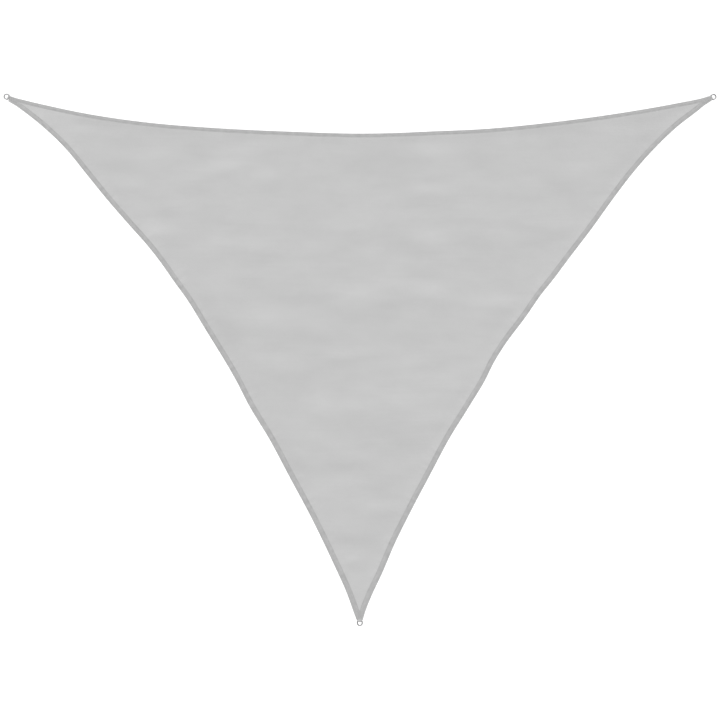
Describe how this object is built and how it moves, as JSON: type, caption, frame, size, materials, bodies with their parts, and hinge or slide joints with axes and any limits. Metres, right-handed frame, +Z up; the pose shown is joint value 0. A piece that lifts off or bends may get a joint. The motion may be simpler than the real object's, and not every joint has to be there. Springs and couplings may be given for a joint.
{
  "type": "triangular shade sail",
  "caption": "Triangular shade sail of light grey knitted cloth, spread flat: hollow edges in folded bindings, a D-shaped steel ring in a webbing tab at each corner.",
  "frame": {"origin": "middle of the sail's plan box, on the surface that it lies on", "axes": "+X along the top edge towards the right ring, +Y from the foot towards the top edge, +Z up from the surface"},
  "size_m": [4.033, 3.0124, 0.0094],
  "materials": {
    "cloth": "matt light grey knitted shade cloth",
    "binding": "matt grey woven tape, folded and sewn",
    "webbing": "matt grey woven webbing",
    "steel": "smooth stainless steel wire"
  },
  "bodies": {
    "root": {"sail_cloth": "cloth", "binding_top": "binding", "binding_right": "binding", "binding_left": "binding", "tab_left": "webbing", "tab_right": "webbing", "tab_foot": "webbing", "ring_left": "steel", "ring_right": "steel", "ring_foot": "steel"}
  },
  "joints": []
}
